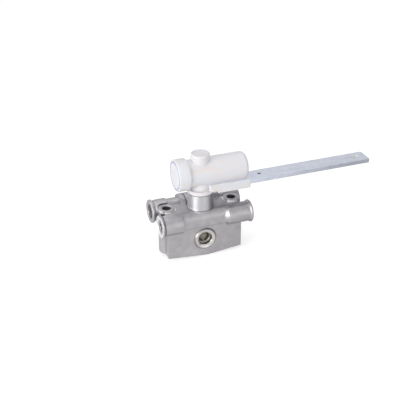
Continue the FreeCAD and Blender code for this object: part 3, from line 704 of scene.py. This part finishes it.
def threaded_port(sizes, mouth, inward, depth, port):
    """Cutter for a threaded port with a faced mouth.

    The radius is the larger of the thread's and the lead cone's. The thread's
    radius at a place along the bore and an angle round it is the minor radius plus
    the thread's depth times a trapezoid wave of the place over the pitch less the
    angle over a whole turn, which fades out over one pitch near the bottom. The wave
    is 0 along the crest, an eighth of the pitch, and 1 along the root, a quarter of
    it. The cone comes down from its wide end to the minor radius at the end of the
    lead.
    """
    columns, rows_per_pitch = 96, 12
    crest, root = 1 / 8, 1 / 4
    flank = (1 - crest - root) / 2
    pitch, facing = sizes.thread_pitch, sizes.facing
    minor, major = sizes.thread_minor, sizes.thread_major
    runout = 0.6 * pitch
    place = np.linspace(facing, depth + facing, int(depth / pitch * rows_per_pitch))
    turn = np.arange(columns) / columns
    phase = (place[:, None] / pitch - turn[None, :]) % 1.0
    wave = np.clip(((1 - crest) / 2 - np.abs(phase - 0.5)) / flank, 0, 1)
    fade = np.clip((depth - runout - place) / pitch, 0, 1)[:, None]
    thread = minor + (major - minor) * wave * fade
    cone = (port.wide - (place - facing) * (port.wide - minor) / (port.lead - facing))[:, None]
    first = np.full((2, columns), port.face)
    radii = np.concatenate([first, np.maximum(thread, cone)])
    along = np.concatenate([[-OVERRUN, facing], place])
    dull = (along[1:] > port.dull_from) & (along[1:] < port.dull_to)
    slots = np.where(dull, port.dull_slot, port.bright_slot)
    return round_solid("cutter", radii, along, mouth, inward, columns, slots)


def faced_hole(sizes, mouth, inward, depth):
    """Cutter for a mounting hole with a small chamfer, which also faces its pad."""
    chamfer = 0.5 * MM
    radii = np.array([sizes.pad, sizes.pad, sizes.hole + chamfer, sizes.hole, sizes.hole])[:, None]
    along = [-OVERRUN, sizes.facing, sizes.facing, sizes.facing + chamfer, depth]
    slots = [CAST_SLOT, CAST_SLOT, CAST_SLOT, BORED_SLOT]
    return round_solid("cutter", radii, along, mouth, inward, 96, slots)


def ring_cutter(corners, centre, axis, slot):
    """Cutter for a groove round an axis, from its corners as (radius, along) in millimetres."""
    item = tube("cutter", [(radius * MM, along * MM, 0) for radius, along in corners], centre, axis)
    item.data.polygons.foreach_set("material_index", np.full(len(item.data.polygons), slot, np.int32))
    return item


def square(inner, outer, start, end):
    """Corners of a square groove."""
    return [(inner, start), (outer, start), (outer, end), (inner, end)]


def filler(radius, mouth, inward, depth):
    """Rod that fills a bore before the casting is softened, and stands a little out of its mouth."""
    proud = 0.4 * MM
    return round_solid("filler", np.array([[radius], [radius]]), [-proud, depth], mouth, inward, 72)


def port_places():
    """Mouth, inward direction and depth of each port, from the record's mounts."""
    places = {}
    for name, port in PORTS.items():
        entry = mount(name)
        outward = Vector(entry["axis"])
        half = entry["dims"]["length_mm"] * MM / 2
        mouth = Vector(entry["pos_m"]) + outward * (half + port.lead)
        places[name] = (mouth, -outward, 2 * half + port.lead)
    return places


def hole_places():
    """Top of each mounting hole, spaced as the record's mount says."""
    half = mount("mounting_holes")["dims"]["spacing_x_mm"] * MM / 2
    return [Vector((side * half, 0, 0)) for side in (-1, 1)]


def bore_fillers(sizes, ports, holes):
    """Rods that fill the ports and the mounting holes, a little wider than what is cut there later.

    The foot of each mounting hole stays open, and is cut to size with the rest.
    """
    port_spare, hole_spare, foot = 0.6 * MM, 0.8 * MM, 6 * MM
    fillers = [filler(PORTS[name].wide + port_spare, *place) for name, place in ports.items()]
    for place in holes:
        fillers.append(filler(sizes.hole + hole_spare, place, (0, 0, -1), -CAST_LOW.z - foot))
    return fillers


def machining_cutters(sizes, ports, holes):
    """Cutters for the ports, the holes with their pads, and the rings round them.

    Each pad has a ring cut round its side. A square groove runs behind the left
    port's flange and another round the drum of the rear bar, and the rim of the
    exhaust port gets its sloping outer side.
    """
    down = Vector((0, 0, -1))
    pad_side = square(inner=sizes.pad / MM, outer=9.6, start=-1.0, end=1.95)
    flange_groove = square(inner=9.5, outer=12.3, start=2.2, end=3.4)
    drum_groove = square(inner=12.0, outer=14.0, start=-12.6, end=-11.6)
    rim_side = [(10.35, -0.3), (12.3, -0.3), (12.3, 1.45), (12.1, 1.75), (11.7, 1.75)]
    supply = ports["port_supply"][0]
    cutters = [threaded_port(sizes, *place, PORTS[name]) for name, place in ports.items()]
    for place in holes:
        cutters.append(faced_hole(sizes, place, down, -CAST_LOW.z + OVERRUN))
        cutters.append(ring_cutter(pad_side, place, down, SPOT_SLOT))
    cutters.append(ring_cutter(flange_groove, ports["port_consumer_left"][0], (1, 0, 0), CAST_SLOT))
    cutters.append(ring_cutter(drum_groove, (0, supply.y, supply.z), (1, 0, 0), CAST_SLOT))
    # The rim's slope and the ring round it take the darker rim tone, painted shade for the dark outline.
    cutters.append(ring_cutter(rim_side, ports["port_exhaust"][0], (0, 1, 0), RIM_SLOT))
    return cutters


def casting_finishes(sizes, colours, ports, hole):
    """Materials of the casting, in the order of its slots.

    The parting line is on the front face, which lies behind the exhaust port's mouth.
    """
    front = 1.5 * MM
    consumer, supply, exhaust = (ports[name][0] for name in ("port_consumer_left", "port_supply",
                                                             "port_exhaust"))
    seam = exhaust + Vector((0, front, sizes.seam))
    return (cast_metal("blasted_die_cast_aluminium", colours.cast, colours.cast_dark, seam),
            turned_metal("faced_aluminium_consumer", colours.turned, consumer, (0, 1, 1)),
            turned_metal("faced_aluminium_supply", colours.supply, supply, (0, 1, 1)),
            turned_metal("faced_aluminium_exhaust", colours.exhaust, exhaust, (1, 0, 1), roughness=0.24),
            turned_metal("spot_faced_aluminium", colours.turned, hole, (1, 1, 0)),
            bored_metal("bored_aluminium", colours.bored, 0.4, 0.6),
            # The tapped thread's dark tone is painted shade.
            bored_metal("tapped_aluminium_painted_shade", colours.tapped, 0.2, 0.32),
            turned_metal("sloping_aluminium_rim_painted_shade", colours.rim, exhaust, (1, 0, 1), roughness=0.3))


class VALVE_OT_casting(bpy.types.Operator):
    """Casts the body with soft edges, then machines its ports, pads and holes"""

    bl_idname = "valve.casting"
    bl_label = "Casting"

    def execute(self, context):
        sizes = context.scene.valve_casting
        ports = port_places()
        holes = hole_places()
        item = merged_copy("valve_body", "cast_body")
        boolean(item, bore_fillers(sizes, ports, holes), "UNION")
        softened(item, sizes.step, sizes.passes, sizes.faces)
        cover(item, *casting_finishes(sizes, context.scene.valve_colours, ports, holes[0]))
        boolean(item, machining_cutters(sizes, ports, holes), "DIFFERENCE")
        dress(item, "cast_aluminium", "valve", "valve_body")
        return {"FINISHED"}


def cap_corners(sizes):
    """Profile of the barrel's cap: a disc in a wide groove, a round rim and the inner spigot.

    The groove has a steep inner side and slopes up to the rim on its outer side. The
    cap's rear is hollow, so that it sits over the barrel, with its spigot inside it.
    """
    face, rear = CAP_LOW.x + 0.2 * MM, CAP_HIGH.x
    bottom = face + sizes.groove_depth
    rim = (CAP_HIGH.z - CAP_LOW.z) / 2
    barrel = 14.0 * MM
    floor = face + 4.25 * MM
    spigot, spigot_end = 9.55 * MM, floor + 4.0 * MM
    hollow = spigot - 2.6 * MM
    fine, small, round_edge = 0.1 * MM, 0.3 * MM, 1.0 * MM
    return [(NEEDLE, face, 0), (sizes.disc, face, 0.4 * MM), (sizes.disc + 0.2 * MM, bottom, 0.2 * MM),
            (sizes.disc + 1.2 * MM, bottom, small), (sizes.groove, face, 0.2 * MM),
            (rim, face, round_edge), (rim, rear, 0.7 * MM), (barrel, rear, 0.2 * MM),
            (barrel, floor, fine), (spigot, floor, fine), (spigot, spigot_end, small),
            (hollow, spigot_end, small), (hollow, floor, fine), (NEEDLE, floor, 0)]


def plug_corners(sizes):
    """Profile of the boss's plug: a disc with a round edge and a shallow dish in its top."""
    top = TOP_HIGH.z - TOP_LOW.z
    disc = (TOP_HIGH.x - TOP_LOW.x) / 2
    edge, slope, dish = 1.3 * MM, 0.3 * MM, sizes.dish
    return [(NEEDLE, 0, 0), (disc, 0, 0.1 * MM), (disc, top, 0.35 * MM), (disc - edge, top, dish),
            (disc - edge - slope, top - dish, dish), (NEEDLE, top - dish, 0)]


def in_groove(centres, sizes):
    """Tells which places lie in the groove of the cap, by their depth and their reach from its axis."""
    edge, shallow = 0.1 * MM, 0.3 * MM
    depth = centres[:, 0] - CAP_LOW.x
    reach = np.hypot(centres[:, 1] - SHAFT_Y, centres[:, 2] - CAP_Z)
    deep = (depth > shallow) & (depth < shallow + sizes.groove_depth)
    return deep & (reach > sizes.disc - edge) & (reach < sizes.groove - edge)


def in_upright_hole(centres, normals, entry):
    """Tells which faces are the wall of an upright hole, by their reach from a mount and their tilt."""
    spare, tilt = 0.2 * MM, 0.5
    reach = np.hypot(centres[:, 0] - entry["pos_m"][0], centres[:, 1] - entry["pos_m"][1])
    return (np.abs(normals[:, 2]) < tilt) & (reach < entry["dims"]["r_mm"] * MM + spare)


class VALVE_OT_head(bpy.types.Operator):
    """Moulds the white head, its cap and its plug"""

    bl_idname = "valve.head"
    bl_label = "Head"

    def execute(self, context):
        sizes = context.scene.valve_head
        colours = context.scene.valve_colours
        acetal = moulded_acetal("moulded_white_acetal", colours.acetal, colours.acetal_warm,
                                colours.acetal_shade)
        # The cap's groove gets a darker, bluer acetal as painted shade.
        shaded = moulded_acetal("moulded_white_acetal_shaded_groove", colours.groove, colours.acetal_shade,
                                colours.groove)
        head = merged_copy("head_housing", "moulded_head")
        softened(head, sizes.step, sizes.passes, sizes.faces)
        cover(head, acetal)
        dress(head, "white_acetal", "rocker", "head_housing")
        cap = lathe("moulded_cap", cap_corners(sizes), (0, SHAFT_Y, CAP_Z), (1, 0, 0), 192)
        cover(cap, acetal, shaded)
        mark_faces(cap, in_groove(face_places(cap)[0], sizes))
        dress(cap, "white_acetal", "rocker", "end_cap")
        plug = lathe("moulded_plug", plug_corners(sizes), (SHAFT_X, SHAFT_Y, TOP_LOW.z), (0, 0, 1))
        cover(plug, acetal)
        dress(plug, "white_acetal", "rocker", "top_plug")
        finish_node(acetal, "thrust_washer")
        return {"FINISHED"}


def collar_corners():
    """Profile of the shaft's collar.

    A spigot goes into the body, a small foot stands on the deck, the side is stepped
    in above the foot, and the top is bored out for the seal over the shaft's bore.
    """
    low, high = COLLAR_LOW.z, COLLAR_HIGH.z
    deck = low + 5.0 * MM
    seat = high - 3.8 * MM
    bore, spigot, counterbore = 8.05 * MM, 9.5 * MM, 9.4 * MM
    foot = (COLLAR_HIGH.x - COLLAR_LOW.x) / 2
    side = foot - 0.35 * MM
    fine, small = 0.1 * MM, 0.3 * MM
    return [(bore, low, 0.2 * MM), (spigot, low, 0.4 * MM), (spigot, deck, 0.05 * MM), (foot, deck, fine),
            (foot, deck + 0.7 * MM, small), (side, deck + 1.3 * MM, small), (side, high, 0.6 * MM),
            (counterbore, high, small), (counterbore, seat, fine), (bore, seat, fine)]


class VALVE_OT_metal(bpy.types.Operator):
    """Finishes the collar, the lever and its screws"""

    bl_idname = "valve.metal"
    bl_label = "Collar and lever"

    def execute(self, context):
        colours = context.scene.valve_colours
        shaft = (SHAFT_X, SHAFT_Y, 0)
        ring = tube("turned_collar", collar_corners(), shaft, (0, 0, 1), 192)
        cover(ring, turned_metal("turned_aluminium_collar", colours.collar, shaft, (1, 1, 0),
                                 roughness=0.46, stretch=0.8))
        dress(ring, "machined_aluminium", "valve", "neck_collar")
        zinc = plated_steel("zinc_plated_steel_bar", colours.zinc, colours.zinc_dark)
        # The end hole's wall is near white as painted light.
        wall = grained("drilled_steel_wall_painted_light", colours.drilled, 0.6 * MM, 0.2, 0.3, 0.45, contrast=0.9)
        bar = merged_copy("lever", "plated_bar")
        cover(bar, zinc, wall)
        mark_faces(bar, in_upright_hole(*face_places(bar), mount("lever_rod_hole")))
        dress(bar, "zinc_plated_steel", "rocker", "lever", angle=5)
        finish_node(zinc, "lever_screws")
        return {"FINISHED"}


def coiled(node, name, material, body):
    """Copy of a spring's node in its finish, on its body, with a mesh of its own.
    """
    item = merged_copy(node, name)
    cover(item, material)
    dress(item, "spring_steel", body, node)
    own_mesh(item)


class VALVE_OT_inside(bpy.types.Operator):
    """Finishes the pieces inside the valve and in its exhaust port"""

    bl_idname = "valve.inside"
    bl_label = "Inner pieces"

    def execute(self, context):
        colours = context.scene.valve_colours
        finish_node(grained("sintered_olive_filter", colours.filter, 0.5 * MM, 0.0, 0.75, 0.95,
                            depth=0.2 * MM, contrast=0.5), "exhaust_filter")
        finish_node(grained("phosphated_spring_steel", colours.phosphated, 0.4 * MM, 0.8, 0.4, 0.6),
                    "filter_ring")
        wire = grained("spring_steel_wire", colours.wire, 0.4 * MM, 1.0, 0.25, 0.45)
        finish_node(wire, "retaining_ring", "passage_ball")
        coiled("check_spring", "coiled_check_spring", wire, "valve")
        coiled("overload_spring", "coiled_overload_spring", wire, "rocker")
        finish_node(grained("ground_steel", colours.ground, 0.3 * MM, 1.0, 0.15, 0.3), "shaft",
                    "eccentric_pin", "overload_plunger")
        finish_node(grained("nitrile_rubber", colours.rubber, 0.6 * MM, 0.0, 0.5, 0.75), "shaft_seal",
                    "shaft_o_ring", "spool_o_rings", "plug_o_ring")
        finish_node(grained("turned_brass", colours.brass, 0.5 * MM, 1.0, 0.2, 0.4), "rear_plug",
                    "check_seat", "check_poppet", "throttle_insert")
        finish_node(grained("sintered_bronze", colours.bronze, 0.3 * MM, 1.0, 0.35, 0.6), "shaft_bush")
        finish_node(grained("anodised_aluminium_spool", colours.spool, 0.4 * MM, 1.0, 0.25, 0.4),
                    "control_spool")
        return {"FINISHED"}


class VALVE_OT_stage(bpy.types.Operator):
    """Sets the camera, the lamps and the pale floor"""

    bl_idname = "valve.stage"
    bl_label = "Stage"

    def execute(self, context):
        scene = context.scene
        sizes = scene.valve_stage
        middle = Vector((0.03, 0, 0))
        make_camera(scene)
        lamp("key", sizes.key, place=(-0.95, -0.5, 0.25), target=middle, side=0.7)
        lamp("fill", sizes.fill, place=(0.5, -1.0, 0.1), target=middle, side=1.0)
        lamp("overhead", sizes.top, place=(0.0, 0.25, 1.0), target=middle, side=0.9)
        make_world(scene)
        make_floor(sizes.floor_size, CAD_BOX[0].z)
        scene.view_settings.view_transform = "Standard"
        return {"FINISHED"}


def make_camera(scene):
    """Camera at the photograph's place.

    It stands 20.6 degrees to the left of the front and 28.4 degrees above it, 922 mm
    from the collar's foot, which it has a little right of the middle and below it.
    The distance and the two shifts are in millimetres.
    """
    turn, rise, roll = (math.radians(angle) for angle in (20.58, 28.38, -0.24))
    distance, aside, above = 922, 0.334, 5.045
    foot = Vector((0, -3.5, -1.8)) * MM
    back = Vector((-math.sin(turn) * math.cos(rise), -math.cos(turn) * math.cos(rise), math.sin(rise)))
    across = Vector((math.cos(turn), -math.sin(turn), 0))
    up = back.cross(across)
    right = across * math.cos(roll) + up * math.sin(roll)
    top = up * math.cos(roll) - across * math.sin(roll)
    data = bpy.data.cameras.new("camera")
    data.lens = 81.89
    data.sensor_width = 36
    camera = bpy.data.objects.new("camera", data)
    scene.collection.objects.link(camera)
    place = foot + (back * distance - right * aside + top * above) * MM
    turned = Matrix((right, top, back)).transposed().to_4x4()
    camera.matrix_world = Matrix.Translation(place) @ turned
    scene.camera = camera


def lamp(name, strength, place, target, side):
    """Square lamp that points at the object."""
    data = bpy.data.lights.new(name, "AREA")
    data.size = side
    data.energy = strength
    item = bpy.data.objects.new(name, data)
    item.location = place
    item.rotation_euler = (target - Vector(place)).to_track_quat("-Z", "Y").to_euler()
    bpy.context.scene.collection.objects.link(item)


def seen_straight(tree, path):
    """1 for rays from the camera or through a clear piece, and 0 for the rest."""
    return combine(tree, "MAXIMUM", (path, "Is Camera Ray"), (path, "Is Transmission Ray"))


def make_world(scene):
    """White surroundings for the camera and a plain soft light.

    Metal sees them white at the left, light grey at the right and dark at the far right.
    """
    world = bpy.data.worlds.new("studio")
    world.use_nodes = True
    tree = world.node_tree
    tree.nodes.clear()
    path = add_node(tree, "ShaderNodeLightPath")
    seen = seen_straight(tree, path)
    ray = add_node(tree, "ShaderNodeTexCoord")
    parts = add_node(tree, "ShaderNodeSeparateXYZ", {0: (ray, "Generated")})
    slope = spread(tree, (parts, "X"), -0.9, 0.8, 1.7, 0.5)
    card = spread(tree, (parts, "X"), 0.75, 0.97, 1.0, 0.2)
    mirrored = combine(tree, "MULTIPLY", (slope, "Result"), (card, "Result"))
    soft = add_node(tree, "ShaderNodeMix", {0: (path, "Is Glossy Ray"), 3: (mirrored, "Value")},
                    data_type="FLOAT")
    soft.inputs[2].default_value = 0.5
    level = combine(tree, "MAXIMUM", (seen, "Value"), (soft, 0))
    light = add_node(tree, "ShaderNodeBackground", {"Strength": (level, "Value")}, Color=(1, 1, 1, 1))
    add_node(tree, "ShaderNodeOutputWorld", {"Surface": (light, "Background")})
    scene.world = world


def make_floor(side, height):
    """White floor that keeps a faint shadow.

    Bright metal sees the floor as white paper, which turns grey behind the object
    and to its right, as over a grey card, and gives the turned faces their dark side.
    """
    half = side / 2
    points = [(-half, -half, height), (half, -half, height), (half, half, height), (-half, half, height)]
    floor = join("floor", points, [(0, 1, 2, 3)])
    material = bpy.data.materials.new("floor_paper")
    material.use_nodes = True
    tree = material.node_tree
    tree.nodes.clear()
    path = add_node(tree, "ShaderNodeLightPath")
    place = add_node(tree, "ShaderNodeTexCoord")
    reach = add_node(tree, "ShaderNodeVectorMath", {0: (place, "Object")}, operation="DOT_PRODUCT")
    reach.inputs[1].default_value = (0.8, 0.6, 0)
    card = spread(tree, (reach, "Value"), -0.025, 0.095, 1.1, 0.4)
    mirrored = add_node(tree, "ShaderNodeEmission", {"Strength": (card, "Result")}, Color=(1, 1, 1, 1))
    shown = seen_straight(tree, path)
    level = spread(tree, (shown, "Value"), 0, 1, 0, 0.55)
    paper = add_node(tree, "ShaderNodeBsdfDiffuse", Color=(0.75, 0.75, 0.75, 1))
    glow = add_node(tree, "ShaderNodeEmission", {"Strength": (level, "Result")}, Color=(1, 1, 1, 1))
    seen = add_node(tree, "ShaderNodeAddShader", {0: (paper, "BSDF"), 1: (glow, "Emission")})
    both = add_node(tree, "ShaderNodeMixShader", {0: (path, "Is Glossy Ray"), 1: (seen, "Shader"),
                                                  2: (mirrored, "Emission")})
    add_node(tree, "ShaderNodeOutputMaterial", {"Surface": (both, "Shader")})
    floor.data.materials.append(material)


class VALVE_PT_panel(bpy.types.Panel):
    """Lists the pieces, their sizes and their colours"""

    bl_label = "Levelling valve"
    bl_idname = "VALVE_PT_panel"
    bl_space_type = "VIEW_3D"
    bl_region_type = "UI"
    bl_category = "Levelling valve"

    def draw(self, context):
        scene = context.scene
        for piece in PIECES:
            self.layout.operator(piece.bl_idname)
        for place, group in GROUPS.items():
            for name in group.__annotations__:
                self.layout.prop(getattr(scene, place), name)


PIECES = (VALVE_OT_stage, VALVE_OT_casting, VALVE_OT_head, VALVE_OT_metal, VALVE_OT_inside)
GROUPS = {"valve_casting": CastingSizes, "valve_head": HeadSizes, "valve_colours": FinishColours,
          "valve_stage": StageSizes}


def register():
    """Registers the classes and hangs the settings on the scene."""
    for item in (*GROUPS.values(), *PIECES, VALVE_PT_panel):
        bpy.utils.register_class(item)
    for name, group in GROUPS.items():
        setattr(bpy.types.Scene, name, PointerProperty(type=group))


def unregister():
    """Undoes what register did."""
    for name in GROUPS:
        delattr(bpy.types.Scene, name)
    for item in (VALVE_PT_panel, *reversed(PIECES), *reversed(GROUPS.values())):
        bpy.utils.unregister_class(item)


def main():
    """Makes the pieces in order."""
    register()
    bpy.ops.valve.stage()
    bpy.ops.valve.casting()
    bpy.ops.valve.head()
    bpy.ops.valve.metal()
    bpy.ops.valve.inside()


if __name__ == "__main__":
    main()
